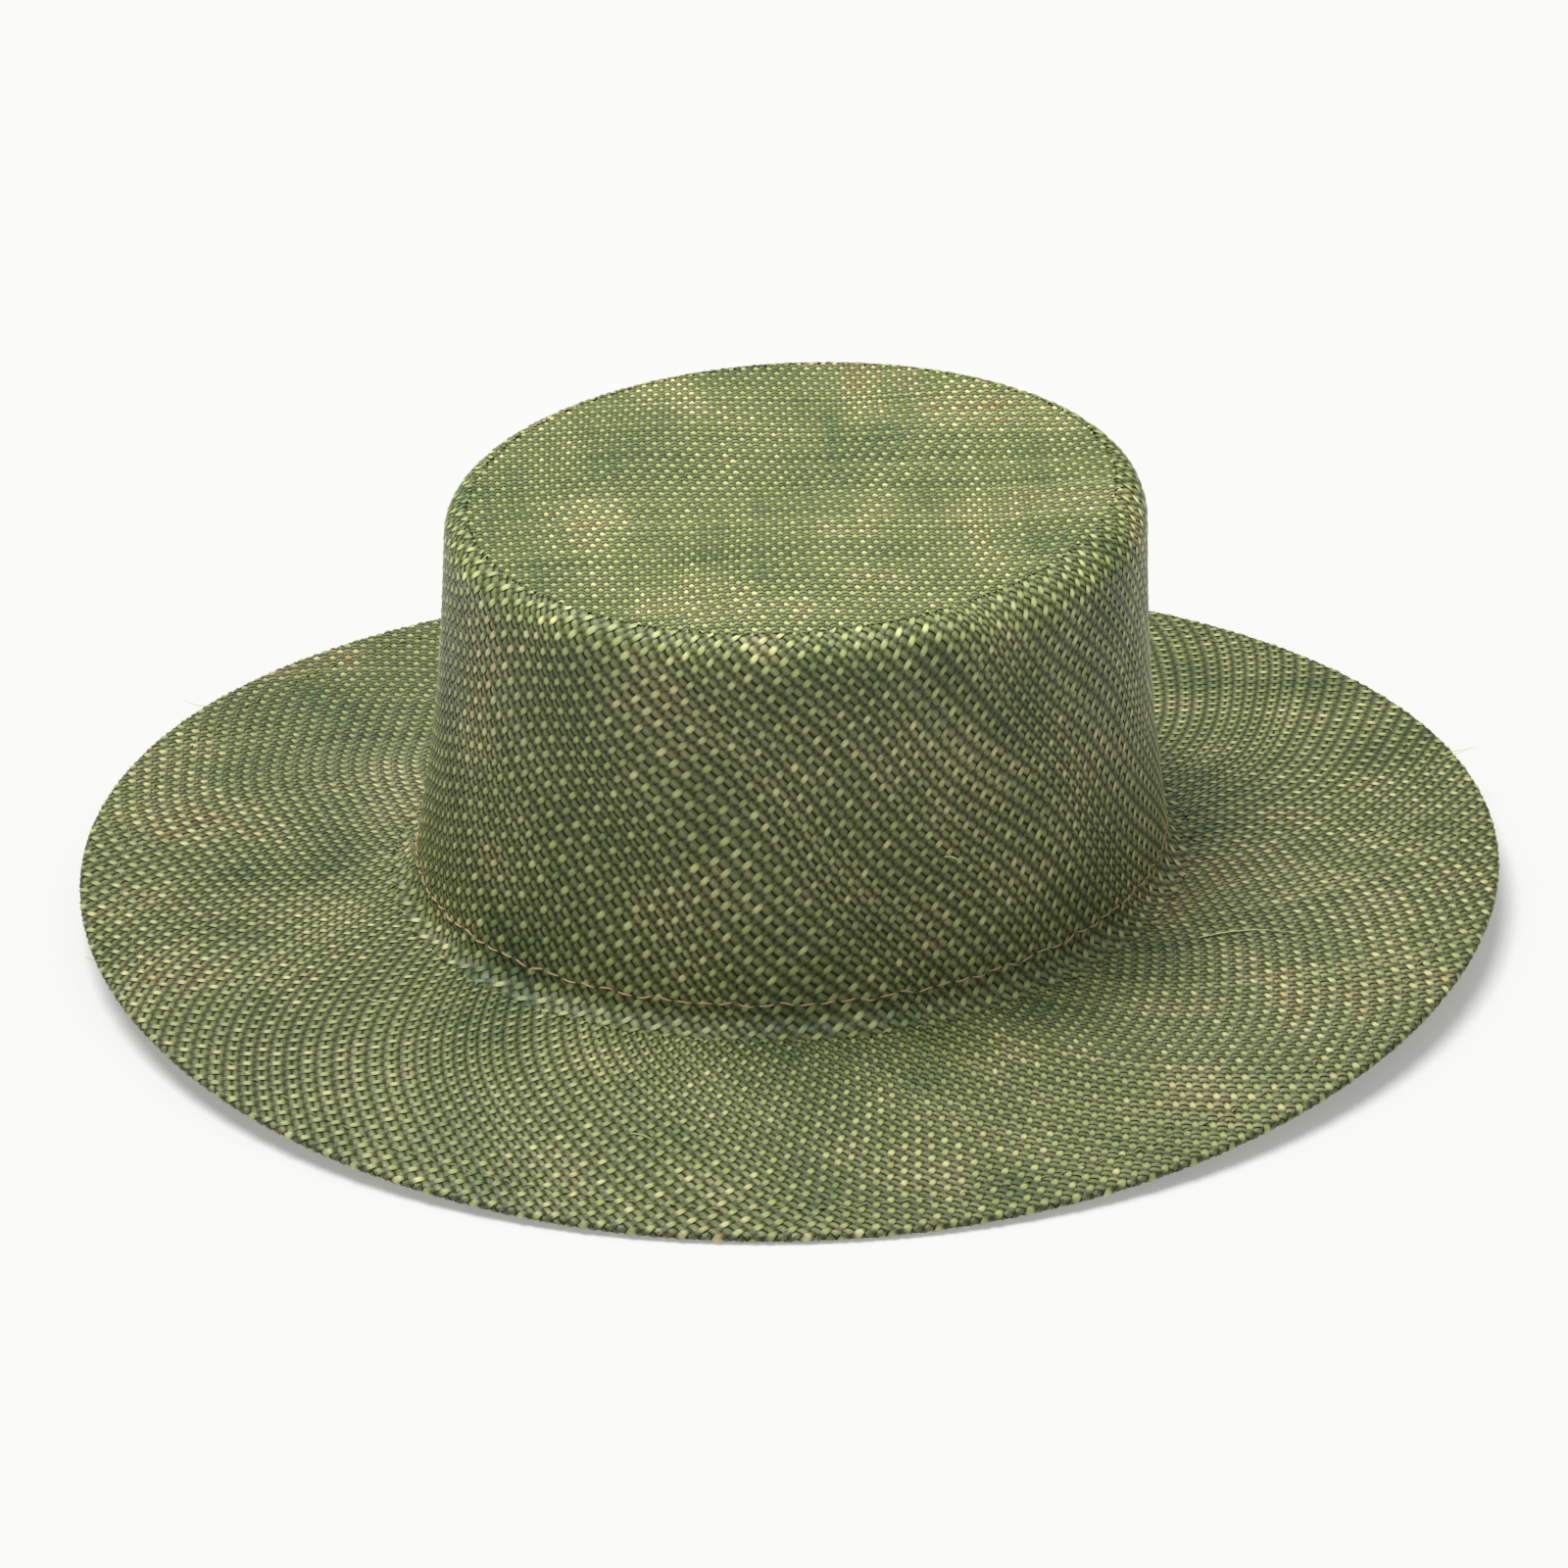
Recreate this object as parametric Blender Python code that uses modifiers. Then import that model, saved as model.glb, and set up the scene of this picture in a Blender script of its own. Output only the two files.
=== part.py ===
"""Flat top straw hat: a woven body in one piece (crown, brim and turned-under hem) and the band sewn inside.

The hat stands on the low parts of its brim edge. +Z is up, Y runs along the longer half of the head oval,
and the origin is under the middle of the brim, on the surface that the hat stands on. Sizes are in metres.
Run it with: blender --background --python part.py
"""

import math

import bpy
import numpy as np

# Woven straw
STRAW_THICKNESS = 0.0012
LAYER_GAP = 0.0003

# Crown: half lengths of the ovals at the top of its wall and at its foot
TIP_HALF_LENGTH = 0.0920
TIP_HALF_WIDTH = 0.0825
FOOT_HALF_LENGTH = 0.1002
FOOT_HALF_WIDTH = 0.0902
CROWN_HEIGHT = 0.1000
TIP_EDGE_RADIUS = 0.0060
TIP_EDGE_SOFTENING = 0.0040
TIP_EDGE_SOFT_AZIMUTH = math.radians(10.0)
WALL_HOLLOW = 0.0016
FOOT_FILLET_RADIUS = 0.0060

# Brim: half lengths of its outer oval, the height of its foot above the low parts of its edge, and its wave
BRIM_HALF_LENGTH = 0.1856
BRIM_HALF_WIDTH = 0.1752
FOOT_HEIGHT = 0.0081
EDGE_RISE = 0.0096
EDGE_LOW_AZIMUTH = math.radians(-45.0)
BRIM_SLOPE_POWER = 1.3
HEM_WIDTH = 0.0090

# Band sewn inside the foot of the crown
BAND_WIDTH = 0.0260
BAND_THICKNESS = 0.0010
BAND_CLEARANCE = 0.0003
BAND_FOOT_SETBACK = 0.0010

# How finely the curved surfaces are divided
AZIMUTH_STEPS = 72
TIP_RING_SHARES = (0.45, 0.9)
TIP_EDGE_STEPS = 4
WALL_STEPS = 4
FILLET_STEPS = 4
BRIM_STEPS = 5
FOLD_STEPS = 4
HEM_STEPS = 2
BAND_STEPS = 4
SOLIDIFY_CLAMP = 0.0

STRAW_GREEN = (0.19, 0.27, 0.10, 1.0)
BAND_GREEN = (0.10, 0.13, 0.06, 1.0)

AZIMUTHS = np.arange(AZIMUTH_STEPS) * 2 * math.pi / AZIMUTH_STEPS


def clear_scene():
    """Removes whatever the scene holds."""
    for obj in list(bpy.data.objects):
        bpy.data.objects.remove(obj, do_unlink=True)


def oval_radius(half_length, half_width):
    """Distance from the axis to an ellipse with its longer half along Y, at each azimuth."""
    across = half_length * np.cos(AZIMUTHS)
    along = half_width * np.sin(AZIMUTHS)
    return half_length * half_width / np.hypot(across, along)


def edge_height():
    """Height of the brim edge: low on one diagonal of the hat and risen on the other."""
    return EDGE_RISE * (1 - np.cos(2 * (AZIMUTHS - EDGE_LOW_AZIMUTH))) / 2


def tip_edge_radius():
    """Rounding where the tip turns into the wall, softer towards one azimuth."""
    toward = np.clip(np.cos(AZIMUTHS - TIP_EDGE_SOFT_AZIMUTH), 0, 1)
    return TIP_EDGE_RADIUS + TIP_EDGE_SOFTENING * toward**2


def tip_rings():
    """Flat tip and the quarter arc that turns it down into the wall."""
    wall_top = oval_radius(TIP_HALF_LENGTH, TIP_HALF_WIDTH)
    edge = tip_edge_radius()
    top = FOOT_HEIGHT + CROWN_HEIGHT
    rings = [(share * (wall_top - edge), np.full(AZIMUTH_STEPS, top)) for share in TIP_RING_SHARES]
    for step in range(TIP_EDGE_STEPS + 1):
        turn = math.pi / 2 * (1 - step / TIP_EDGE_STEPS)
        rings.append((wall_top - edge + edge * math.cos(turn), top - edge + edge * math.sin(turn)))
    return rings


def wall_radius(share):
    """Radius of the crown wall, share 0 at the top of the wall and 1 at the top of the foot fillet."""
    wall_top = oval_radius(TIP_HALF_LENGTH, TIP_HALF_WIDTH)
    foot = oval_radius(FOOT_HALF_LENGTH, FOOT_HALF_WIDTH)
    return wall_top + (foot - wall_top) * share - WALL_HOLLOW * np.sin(math.pi * share)


def wall_height(share):
    """Height on the crown wall at the same share."""
    high = FOOT_HEIGHT + CROWN_HEIGHT - tip_edge_radius()
    low = FOOT_HEIGHT + FOOT_FILLET_RADIUS
    return high + (low - high) * share


def wall_rings():
    """Crown wall below the tip's rounding, down to the fillet at its foot."""
    shares = [(step + 1) / WALL_STEPS for step in range(WALL_STEPS)]
    return [(wall_radius(share), wall_height(share)) for share in shares]


def fillet_rings():
    """Quarter arc that turns the wall out into the brim."""
    foot = oval_radius(FOOT_HALF_LENGTH, FOOT_HALF_WIDTH)
    rings = []
    for step in range(1, FILLET_STEPS + 1):
        turn = math.pi + math.pi / 2 * step / FILLET_STEPS
        out = foot + FOOT_FILLET_RADIUS * (1 + math.cos(turn))
        up = FOOT_HEIGHT + FOOT_FILLET_RADIUS * (1 + math.sin(turn))
        rings.append((out, np.full(AZIMUTH_STEPS, up)))
    return rings


def brim_ring(share):
    """Ring of the brim, share 0 where the fillet ends and 1 where the hem folds."""
    start = oval_radius(FOOT_HALF_LENGTH, FOOT_HALF_WIDTH) + FOOT_FILLET_RADIUS
    fold = oval_radius(BRIM_HALF_LENGTH, BRIM_HALF_WIDTH) - (STRAW_THICKNESS + LAYER_GAP) / 2
    drop = FOOT_HEIGHT - edge_height()
    return start + (fold - start) * share, FOOT_HEIGHT - drop * share**BRIM_SLOPE_POWER


def brim_rings():
    """Brim from the fillet to its fold."""
    return [brim_ring((step + 1) / BRIM_STEPS) for step in range(BRIM_STEPS)]


def hem_rings():
    """Half round fold at the brim's edge, and the hem that runs back under the brim."""
    layer = STRAW_THICKNESS + LAYER_GAP
    out, up = brim_ring(1.0)
    rings = []
    for step in range(1, FOLD_STEPS + 1):
        turn = math.pi / 2 - math.pi * step / FOLD_STEPS
        rings.append((out + layer / 2 * math.cos(turn), up - layer / 2 + layer / 2 * math.sin(turn)))
    brim_width = float((out - brim_ring(0.0)[0]).mean())
    for step in range(1, HEM_STEPS + 1):
        back = HEM_WIDTH * step / HEM_STEPS / brim_width
        out, up = brim_ring(1.0 - back)
        rings.append((out, up - layer))
    return rings


def ring_points(radius, height):
    """Points of one ring as an array of x, y, z rows."""
    return np.stack([radius * np.cos(AZIMUTHS), radius * np.sin(AZIMUTHS), height], axis=1)


def surface_mesh(name, rings, pole_height=None, closed=False):
    """Mesh through the rings, from the axis outwards, with a fan to a pole on the axis where one is given."""
    points = [ring_points(*ring) for ring in rings]
    vertices = np.concatenate(points)
    faces = []
    pairs = len(rings) if closed else len(rings) - 1
    for ring in range(pairs):
        inner = ring * AZIMUTH_STEPS
        outer = (ring + 1) % len(rings) * AZIMUTH_STEPS
        for step in range(AZIMUTH_STEPS):
            following = (step + 1) % AZIMUTH_STEPS
            faces.append((inner + step, outer + step, outer + following, inner + following))
    if pole_height is not None:
        pole = len(vertices)
        vertices = np.concatenate([vertices, [[0.0, 0.0, pole_height]]])
        faces += [(pole, step, (step + 1) % AZIMUTH_STEPS) for step in range(AZIMUTH_STEPS)]
    mesh = bpy.data.meshes.new(name)
    mesh.from_pydata(vertices.tolist(), [], faces)
    mesh.update()
    mesh.shade_smooth()
    return mesh


def finish(name, colour, roughness):
    """Matt surface of one colour."""
    material = bpy.data.materials.new(name)
    material.use_nodes = True
    shader = material.node_tree.nodes["Principled BSDF"]
    shader.inputs["Base Color"].default_value = colour
    shader.inputs["Roughness"].default_value = roughness
    shader.inputs["Metallic"].default_value = 0.0
    return material


def add_piece(name, mesh, material, collection):
    """Object for one sub-part, with its material, in the hat's collection."""
    mesh.materials.append(material)
    piece = bpy.data.objects.new(name, mesh)
    collection.objects.link(piece)
    return piece


def make_woven_body(collection):
    """Crown, brim and hem in one woven wall: the middle surface, given its thickness by Solidify."""
    rings = tip_rings() + wall_rings() + fillet_rings() + brim_rings() + hem_rings()
    mesh = surface_mesh("woven_body", rings, pole_height=FOOT_HEIGHT + CROWN_HEIGHT)
    body = add_piece("woven_body", mesh, finish("straw", STRAW_GREEN, 0.6), collection)
    wall = body.modifiers.new("straw_thickness", "SOLIDIFY")
    wall.thickness = STRAW_THICKNESS
    wall.offset = 0.0
    wall.use_even_offset = True
    wall.use_rim = True
    wall.thickness_clamp = SOLIDIFY_CLAMP
    return body


def make_sweatband(collection):
    """Ribbon that lines the inside of the crown's foot, a small clearance in from the straw."""
    outside_inset = STRAW_THICKNESS / 2 + BAND_CLEARANCE
    inside_inset = outside_inset + BAND_THICKNESS
    low = FOOT_HEIGHT + FOOT_FILLET_RADIUS + BAND_FOOT_SETBACK
    wall_drop = wall_height(0.0) - wall_height(1.0)
    outside, inside = [], []
    for step in range(BAND_STEPS + 1):
        height = low + BAND_WIDTH * step / BAND_STEPS
        share = (wall_height(0.0) - height) / wall_drop
        level = np.full(AZIMUTH_STEPS, height)
        outside.append((wall_radius(share) - outside_inset, level))
        inside.append((wall_radius(share) - inside_inset, level))
    mesh = surface_mesh("sweatband", inside + outside[::-1], closed=True)
    return add_piece("sweatband", mesh, finish("ribbon", BAND_GREEN, 0.8), collection)


def stand_on_floor(pieces):
    """Moves the pieces so that the body's lowest point is at height 0."""
    bpy.context.view_layer.update()
    body = pieces[0].evaluated_get(bpy.context.evaluated_depsgraph_get())
    lowest = min(vertex.co.z for vertex in body.data.vertices)
    for piece in pieces:
        piece.location.z = -lowest


def main():
    """Builds the hat."""
    clear_scene()
    hat = bpy.data.collections.new("flat_top_straw_hat")
    bpy.context.scene.collection.children.link(hat)
    stand_on_floor([make_woven_body(hat), make_sweatband(hat)])


main()
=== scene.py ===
"""Looks of the flat top straw hat: every strand of the weave, the stitches, the inner band, light and camera.

The weave is an over-and-under pattern of single strands that cross pairs. It is straight on the crown's tip
and winds outwards in two opposite spirals on the wall and the brim. Sizes are in metres unless a name says
otherwise, and the hat's frame is the CAD part's: +Z up, +Y along the longer half of the head oval.
"""

import logging
import math
from dataclasses import dataclass, field
from enum import Enum
from typing import Any, Union

import bpy
import numpy as np
from mathutils import Matrix, Vector


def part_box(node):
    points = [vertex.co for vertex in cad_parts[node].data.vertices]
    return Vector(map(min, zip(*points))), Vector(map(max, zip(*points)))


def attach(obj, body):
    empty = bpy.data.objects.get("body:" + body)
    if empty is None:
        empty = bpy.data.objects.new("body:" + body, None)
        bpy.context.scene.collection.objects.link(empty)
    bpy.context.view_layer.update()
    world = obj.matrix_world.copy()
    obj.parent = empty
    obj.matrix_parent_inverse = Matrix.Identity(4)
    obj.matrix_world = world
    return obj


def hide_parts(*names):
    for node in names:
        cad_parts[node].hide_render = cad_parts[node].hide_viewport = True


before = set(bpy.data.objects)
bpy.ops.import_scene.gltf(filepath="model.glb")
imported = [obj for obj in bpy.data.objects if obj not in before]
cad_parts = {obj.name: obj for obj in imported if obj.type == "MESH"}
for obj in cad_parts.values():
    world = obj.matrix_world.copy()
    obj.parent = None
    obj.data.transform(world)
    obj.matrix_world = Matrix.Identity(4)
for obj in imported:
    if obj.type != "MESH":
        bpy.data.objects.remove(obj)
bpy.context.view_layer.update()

BODY = "root"
LOG = logging.getLogger("hat")
Array = np.ndarray
Colour = tuple[float, float, float, float]
Value = Union["Socket", float, Colour, tuple[float, float, float]]


class Region(Enum):
    """Stretches of the hat's profile, in order from the crown's centre to the end of the hem."""

    TIP = 0
    TIP_EDGE = 1
    WALL = 2
    FILLET = 3
    BRIM = 4
    FOLD = 5
    HEM = 6


class Family(Enum):
    """The two sets of strands of a plain weave."""

    WARP = 1
    WEFT = -1

    @property
    def other(self) -> "Family":
        """The set that this one crosses.

        Returns:
            The other family.
        """
        return Family(-self.value)


@dataclass(frozen=True)
class HatShape:
    """The middle surface of the straw, with the CAD part's sizes, as a function of azimuth and reach."""

    straw_thickness: float = 0.0012
    layer_gap: float = 0.0003
    tip_half: tuple[float, float] = (0.0825, 0.0920)
    foot_half: tuple[float, float] = (0.0902, 0.1002)
    brim_half: tuple[float, float] = (0.1752, 0.1856)
    crown_height: float = 0.1000
    tip_edge_radius: float = 0.0060
    tip_edge_softening: float = 0.0040
    tip_edge_soft_azimuth: float = math.radians(10.0)
    wall_hollow: float = 0.0016
    fillet_radius: float = 0.0060
    foot_height: float = 0.0081
    edge_rise: float = 0.0096
    edge_low_azimuth: float = math.radians(-45.0)
    brim_slope_power: float = 1.3
    hem_width: float = 0.0090

    @property
    def lift(self) -> float:
        """Height by which the CAD part raises its profile so that the hem stands on the floor.

        Returns:
            The lift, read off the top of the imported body.
        """
        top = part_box("woven_body")[1].z
        return top - self.foot_height - self.crown_height - self.straw_thickness / 2

    @staticmethod
    def oval(azimuth: Array, half: tuple[float, float]) -> Array:
        """Radius of an ellipse at each azimuth.

        Args:
            azimuth: Angles about +Z from +X.
            half: Half lengths along X and Y.

        Returns:
            The distance from the axis to the ellipse.
        """
        return half[0] * half[1] / np.hypot(half[1] * np.cos(azimuth), half[0] * np.sin(azimuth))

    def edge_radius(self, azimuth: Array) -> Array:
        """Rounding between the tip and the wall, softer towards one azimuth.

        Args:
            azimuth: Angles about +Z.

        Returns:
            The radius of the rounding.
        """
        toward = np.clip(np.cos(azimuth - self.tip_edge_soft_azimuth), 0, 1)
        return self.tip_edge_radius + self.tip_edge_softening * toward**2

    def brim(self, azimuth: Array, share: Array) -> tuple[Array, Array]:
        """Radius and height on the brim: straight outwards, and falling as a power of the share.

        Args:
            azimuth: Angles about +Z.
            share: 0 where the foot fillet ends and 1 where the hem folds.

        Returns:
            Radius and height of the middle surface.
        """
        start = self.oval(azimuth, self.foot_half) + self.fillet_radius
        fold = self.oval(azimuth, self.brim_half) - (self.straw_thickness + self.layer_gap) / 2
        edge = self.edge_rise * (1 - np.cos(2 * (azimuth - self.edge_low_azimuth))) / 2
        drop = self.foot_height - edge
        return start + (fold - start) * share, self.foot_height - drop * np.power(share, self.brim_slope_power)

    def reaches(self, azimuth: Array) -> Array:
        """Distance along the surface from the crown's centre to the end of each region.

        Args:
            azimuth: Angles about +Z.

        Returns:
            One row for each region, running outwards.
        """
        tip, foot, edge = self.oval(azimuth, self.tip_half), self.oval(azimuth, self.foot_half), self.edge_radius(azimuth)
        high = self.crown_height - edge
        start, fold = self.brim(azimuth, np.zeros_like(azimuth)), self.brim(azimuth, np.ones_like(azimuth))
        lengths = [
            tip - edge,
            edge * math.pi / 2,
            np.hypot(foot - tip, high - self.fillet_radius),
            np.full_like(azimuth, self.fillet_radius * math.pi / 2),
            np.hypot(fold[0] - start[0], fold[1] - start[1]),
            np.full_like(azimuth, (self.straw_thickness + self.layer_gap) * math.pi / 2),
            np.full_like(azimuth, self.hem_width),
        ]
        return np.cumsum(np.stack(lengths), axis=0)

    def place(self, reach: Array, azimuth: Array, height: Array) -> tuple[Array, Array]:
        """Carries places given by azimuth and reach onto the hat.

        Each region's share is where the reach falls between that region's two ends. The profile's point and
        outward direction follow from the share, and the point moves out by the height.

        Args:
            reach: Distance along the surface from the crown's centre.
            azimuth: Angles about +Z.
            height: How far outside the middle surface each point lies.

        Returns:
            Points as rows of x, y, z, and the index of each point's region, one past the last off the hem.
        """
        ends = self.reaches(azimuth)
        starts = np.concatenate([np.zeros_like(ends[:1]), ends[:-1]])
        share = np.clip((reach - starts) / (ends - starts), 0, 1)
        region = (reach > ends).sum(axis=0)
        profile = self._profile(azimuth, share)
        pick = np.minimum(region, len(Region) - 1)[None, None]
        out, up, normal_out, normal_up = np.take_along_axis(profile, pick, axis=1)[:, 0]
        size = np.hypot(normal_out, normal_up)
        out = out + height * normal_out / size
        up = up + height * normal_up / size + self.lift
        return np.stack([out * np.cos(azimuth), out * np.sin(azimuth), up], axis=-1), region

    def _profile(self, azimuth: Array, share: Array) -> Array:
        """The meridian in each region, with its outward direction.

        Args:
            azimuth: Angles about +Z.
            share: Share of the way through each region, one row for each region.

        Returns:
            Array of radius, height, outward radius part and outward height part, by region, by point.
        """
        tip, foot, edge = self.oval(azimuth, self.tip_half), self.oval(azimuth, self.foot_half), self.edge_radius(azimuth)
        top, layer, fillet = self.foot_height + self.crown_height, self.straw_thickness + self.layer_gap, self.fillet_radius
        zero, one = np.zeros_like(azimuth), np.ones_like(azimuth)
        turn = math.pi / 2 * (1 - share[1])
        wall, low, high = share[2], self.foot_height + fillet, top - edge
        hollow = self.wall_hollow * math.pi
        bend = math.pi * (1 + share[3] / 2)
        brim_out, brim_up = self.brim(azimuth, share[4])
        end_out, end_up = self.brim(azimuth, one)
        start_out, start_up = self.brim(azimuth, zero)
        width = end_out - start_out
        fall = (self.foot_height - end_up) * self.brim_slope_power * np.power(share[4], self.brim_slope_power - 1)
        fold = math.pi * (0.5 - share[5])
        back_out, back_up = self.brim(azimuth, 1 - self.hem_width * share[6] / width)
        rows = [
            (share[0] * (tip - edge), top * one, zero, one),
            (tip - edge + edge * np.cos(turn), top - edge + edge * np.sin(turn), np.cos(turn), np.sin(turn)),
            (
                tip + (foot - tip) * wall - self.wall_hollow * np.sin(math.pi * wall),
                high + (low - high) * wall,
                high - low,
                foot - tip - hollow * np.cos(math.pi * wall),
            ),
            (foot + fillet * (1 + np.cos(bend)), low + fillet * np.sin(bend), -np.cos(bend), -np.sin(bend)),
            (brim_out, brim_up, fall, width),
            (end_out + layer / 2 * np.cos(fold), end_up - layer / 2 + layer / 2 * np.sin(fold), np.cos(fold), np.sin(fold)),
            (back_out, back_up - layer, zero, -one),
        ]
        return np.stack([np.stack(row) for row in rows], axis=1)


class Socket:
    """A shader value that takes part in arithmetic."""

    def __init__(self, tree: "ShaderTree", link: bpy.types.NodeSocket) -> None:
        """Wraps an output of a node.

        Args:
            tree: The tree that the node is in.
            link: The output.
        """
        self.tree = tree
        self.link = link

    def _math(self, operation: str, first: Value, second: Value) -> "Socket":
        return self.tree.node("ShaderNodeMath", {"operation": operation}, {0: first, 1: second})

    def __add__(self, other: Value) -> "Socket":
        return self._math("ADD", self, other)

    def __radd__(self, other: Value) -> "Socket":
        return self._math("ADD", other, self)

    def __sub__(self, other: Value) -> "Socket":
        return self._math("SUBTRACT", self, other)

    def __rsub__(self, other: Value) -> "Socket":
        return self._math("SUBTRACT", other, self)

    def __mul__(self, other: Value) -> "Socket":
        return self._math("MULTIPLY", self, other)

    def __rmul__(self, other: Value) -> "Socket":
        return self._math("MULTIPLY", other, self)

    def __truediv__(self, other: Value) -> "Socket":
        return self._math("DIVIDE", self, other)

    def __rtruediv__(self, other: Value) -> "Socket":
        return self._math("DIVIDE", other, self)


class ShaderTree:
    """A material's node tree and its Principled shader."""

    def __init__(self, name: str) -> None:
        """Makes an empty material with a Principled shader.

        Args:
            name: The material's name.
        """
        self.material = bpy.data.materials.new(name)
        self.material.use_nodes = True
        self.shader = self.material.node_tree.nodes["Principled BSDF"]

    def node(
        self, kind: str, settings: dict[str, Any], inputs: dict[Union[int, str], Value], output: Union[int, str] = 0
    ) -> Socket:
        """Adds one node.

        Args:
            kind: The node's type name.
            settings: Properties to set on the node.
            inputs: A value or a socket for each input, by its index or name.
            output: Which output to give back.

        Returns:
            The output, wrapped.
        """
        made = self.material.node_tree.nodes.new(kind)
        for key, value in settings.items():
            setattr(made, key, value)
        for key, value in inputs.items():
            self._feed(made.inputs[key], value)
        return Socket(self, made.outputs[output])

    def _feed(self, target: bpy.types.NodeSocket, value: Value) -> None:
        """Links a socket into an input, or sets the input's value.

        Args:
            target: The input.
            value: What it gets.
        """
        if isinstance(value, Socket):
            self.material.node_tree.links.new(value.link, target)
        else:
            target.default_value = value

    def feed(self, name: str, value: Value) -> None:
        """Feeds one input of the Principled shader.

        Args:
            name: The input's name.
            value: A value or a socket.
        """
        self._feed(self.shader.inputs[name], value)

    def mix(self, factor: Value, first: Value, second: Value, blend: str = "MIX") -> Socket:
        """Mixes two colours.

        Args:
            factor: 0 for the first and 1 for the second.
            first: A colour.
            second: A colour.
            blend: The blend type.

        Returns:
            The mixed colour.
        """
        settings = {"data_type": "RGBA", "blend_type": blend}
        return self.node("ShaderNodeMix", settings, {0: factor, 6: first, 7: second}, 2)

    def ramp(self, factor: Socket, low: float, high: float) -> Socket:
        """A smooth step from 0 at low to 1 at high.

        Args:
            factor: The value that is stepped.
            low: Where the step starts.
            high: Where it ends.

        Returns:
            The stepped value.
        """
        settings = {"interpolation_type": "SMOOTHSTEP"}
        return self.node("ShaderNodeMapRange", settings, {"Value": factor, "From Min": low, "From Max": high})

    def noise(self, vector: Socket, scale: float, detail: float = 2.0, roughness: float = 0.5) -> Socket:
        """Noise texture's value.

        Args:
            vector: The coordinates.
            scale: The texture's scale.
            detail: Octaves.
            roughness: How strong the finer octaves are.

        Returns:
            The value, around 0.5.
        """
        inputs = {"Vector": vector, "Scale": scale, "Detail": detail, "Roughness": roughness}
        return self.node("ShaderNodeTexNoise", {}, inputs, "Fac")

    def stretched(self, vector: Socket, scale: tuple[float, float, float]) -> Socket:
        """Coordinates times a scale along each axis.

        Args:
            vector: The coordinates.
            scale: The factor along each axis.

        Returns:
            The scaled coordinates.
        """
        return self.node("ShaderNodeVectorMath", {"operation": "MULTIPLY"}, {0: vector, 1: scale})


@dataclass(frozen=True)
class StrawFinish:
    """Shiny dyed straw: a dye of its own for each length of straw, painted shade where a strand dips and at its edges,
    painted light towards the crown's top, fine fibres along it.
    """

    main: Colour = (0.36, 0.42, 0.15, 1.0)
    light: Colour = (0.60, 0.60, 0.27, 1.0)
    deep: Colour = (0.20, 0.28, 0.10, 1.0)
    teal: Colour = (0.13, 0.27, 0.14, 1.0)
    tan: Colour = (0.52, 0.42, 0.17, 1.0)
    brown: Colour = (0.30, 0.20, 0.08, 1.0)
    # Painted shade: the colour the straw is multiplied by where a strand dips between the others.
    painted_dip_shade: Colour = (0.12, 0.135, 0.06, 1.0)
    roughness: float = 0.38
    roughness_swing: float = 0.22
    fibres: tuple[float, float, float] = (90.0, 14.0, 1.0)
    bump_distance: float = 0.00012
    patch_scale: float = 32.0
    patch_strength: float = 0.95
    strand_strength: float = 0.34
    # Painted light: between these heights the straw is lightened towards the crown's top, by up to this share.
    painted_top_light_heights: tuple[float, float] = (0.098, 0.109)
    painted_top_light: float = 0.46

    def build(self) -> bpy.types.Material:
        """Makes the material.

        Returns:
            The material. It reads the attribute strand, which holds the dye, the lightness and the height share, by
            which it paints shade.
        """
        tree = ShaderTree("straw")
        strand = tree.node("ShaderNodeAttribute", {"attribute_name": "strand"}, {}, "Color")
        split = tree.node("ShaderNodeSeparateColor", {}, {0: strand}, 0)
        dye = split
        lightness = Socket(tree, split.link.node.outputs[1])
        height = Socket(tree, split.link.node.outputs[2])
        place = tree.node("ShaderNodeTexCoord", {}, {}, "Object")
        along = tree.node("ShaderNodeUVMap", {"uv_map": "along"}, {})
        patches = tree.noise(place, self.patch_scale, 3.0)
        fine = tree.noise(tree.stretched(along, self.fibres), 1.0, 3.0, 0.6)
        dye_here = 0.5 + (dye - 0.5) * self.strand_strength + (patches - 0.5) * self.patch_strength
        colour = tree.mix(tree.ramp(dye_here, 0.10, 0.20), self.brown, self.tan)
        colour = tree.mix(tree.ramp(dye_here, 0.20, 0.32), colour, self.light)
        colour = tree.mix(tree.ramp(dye_here, 0.32, 0.50), colour, self.main)
        colour = tree.mix(tree.ramp(dye_here, 0.58, 0.74), colour, self.deep)
        colour = tree.mix(tree.ramp(dye_here, 0.76, 0.88), colour, self.teal)
        # Painted light: the straw grows lighter towards the crown's top.
        above_floor = tree.node("ShaderNodeSeparateXYZ", {}, {0: place}, 2)
        top_light = tree.ramp(above_floor, *self.painted_top_light_heights) * self.painted_top_light
        # Lightness holds random tone and painted sheen between the families; the fibre noise is grain.
        glow = (0.80 + lightness * 0.55 + (fine - 0.5) * 0.9) * (1.0 + top_light)
        colour = tree.mix(1.0, colour, tree.node("ShaderNodeCombineColor", {}, {0: glow, 1: glow, 2: glow}), "MULTIPLY")
        # Painted shade: the straw is darkened where the height share is low, in the dips between strands and at their
        # edges.
        dip_shaded = tree.mix(1.0, colour, self.painted_dip_shade, "MULTIPLY")
        colour = tree.mix(tree.ramp(height, 0.42, 0.92), dip_shaded, colour)
        tree.feed("Base Color", colour)
        tree.feed("Roughness", self.roughness + (fine - 0.5) * self.roughness_swing)
        tree.feed("Specular IOR Level", 0.6)
        bump = {"Height": fine, "Distance": self.bump_distance, "Strength": 0.9}
        tree.feed("Normal", tree.node("ShaderNodeBump", {}, bump, "Normal"))
        return tree.material


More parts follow.
